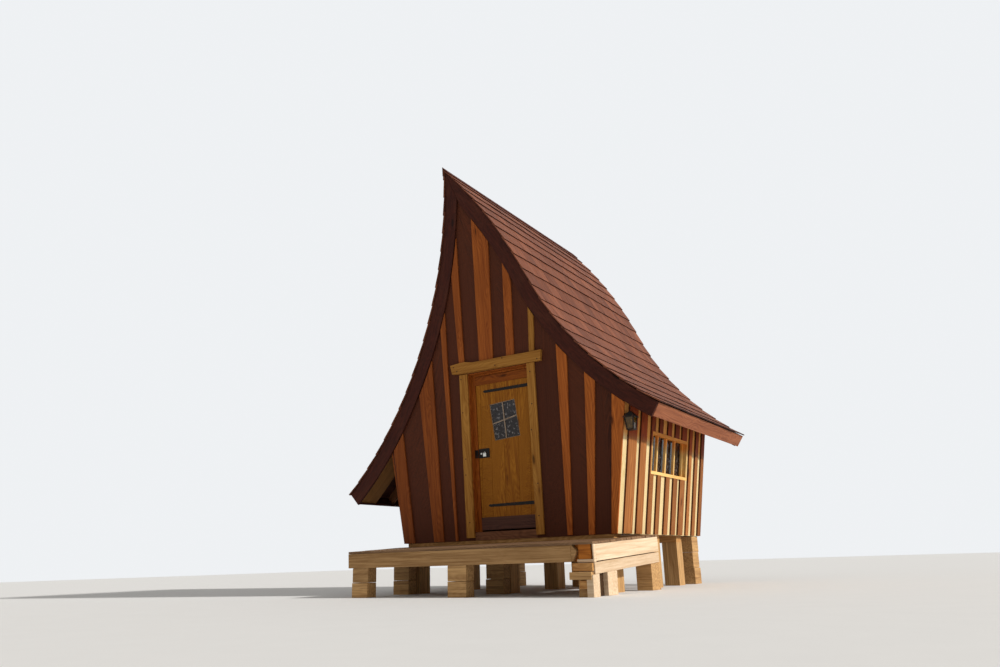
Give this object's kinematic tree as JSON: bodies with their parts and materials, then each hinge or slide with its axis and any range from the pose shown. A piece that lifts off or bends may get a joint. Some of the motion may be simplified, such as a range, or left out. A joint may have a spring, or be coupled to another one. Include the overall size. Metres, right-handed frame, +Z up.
{
  "type": "crooked timber cabin",
  "caption": "Small timber cabin with a curved, lopsided shingle roof, board walls, a plank door with a window, a side window, a lantern and a low timber deck, on blocks.",
  "frame": {"origin": "on the ground under the middle of the floor, on the underside of the middle pier", "axes": "+Z up, +X along the front wall towards the side with the window, +Y from the front to the back"},
  "size_m": [4.6159, 4.0791, 5.46],
  "materials": {
    "block_wood": "weathered",
    "bearer_wood": "weathered",
    "floor_wood": "weathered",
    "front_boards": "weathered",
    "side_boards": "weathered",
    "rafter_wood": "weathered",
    "sheathing_wood": "weathered",
    "shingle_wood": "weathered",
    "barge_wood": "weathered",
    "fascia_wood": "weathered",
    "casing_wood": "weathered",
    "frame_wood": "weathered",
    "door_wood": "weathered",
    "window_glass": "clear",
    "door_board_wood": "weathered",
    "black_iron": "rough",
    "padlock_steel": "satin",
    "window_wood": "weathered",
    "amber_glass": "clear",
    "deck_wood": "weathered",
    "timber_wood": "weathered"
  },
  "bodies": {
    "cabin": {"pier_blocks": "block_wood", "cross_bearers": "bearer_wood", "floor_platform": "floor_wood", "front_wall_left": "front_boards", "front_wall_right": "front_boards", "front_wall_top": "front_boards", "back_wall": "front_boards", "left_wall": "side_boards", "right_wall_front": "side_boards", "right_wall_back": "side_boards", "right_wall_middle": "side_boards", "rafters_left": "rafter_wood", "rafters_right": "rafter_wood", "roof_boards_left": "sheathing_wood", "roof_boards_right": "sheathing_wood", "shingles_left": "shingle_wood", "shingles_right": "shingle_wood", "ridge_boards": "barge_wood", "barge_front_left": "barge_wood", "barge_front_right": "barge_wood", "barge_back_left": "barge_wood", "barge_back_right": "barge_wood", "fascia_left": "fascia_wood", "fascia_right": "fascia_wood", "door_casings": "casing_wood", "lintel": "casing_wood", "door_frame": "frame_wood", "threshold": "floor_wood", "hinge_pins": "black_iron", "window_frame": "window_wood", "window_glass": "window_glass", "lantern_frame": "black_iron", "lantern_glass": "amber_glass", "deck_boards": "deck_wood", "deck_cross_timbers": "timber_wood", "deck_side_timber": "timber_wood", "deck_low_timber": "timber_wood", "deck_blocks": "block_wood"},
    "door": {"door_leaf": "door_wood", "door_glass": "window_glass", "door_face_boards": "door_board_wood", "door_ledges": "door_wood", "hinge_straps": "black_iron", "hasp": "black_iron", "padlock": "padlock_steel"}
  },
  "joints": [
    {"name": "door_hinge", "type": "hinge", "parent": "cabin", "child": "door", "pos_m": [0.484, -1.29267, 0.7], "axis": [0.0502, -0.1252, 0.9909], "range_deg": [0, 90]}
  ]
}
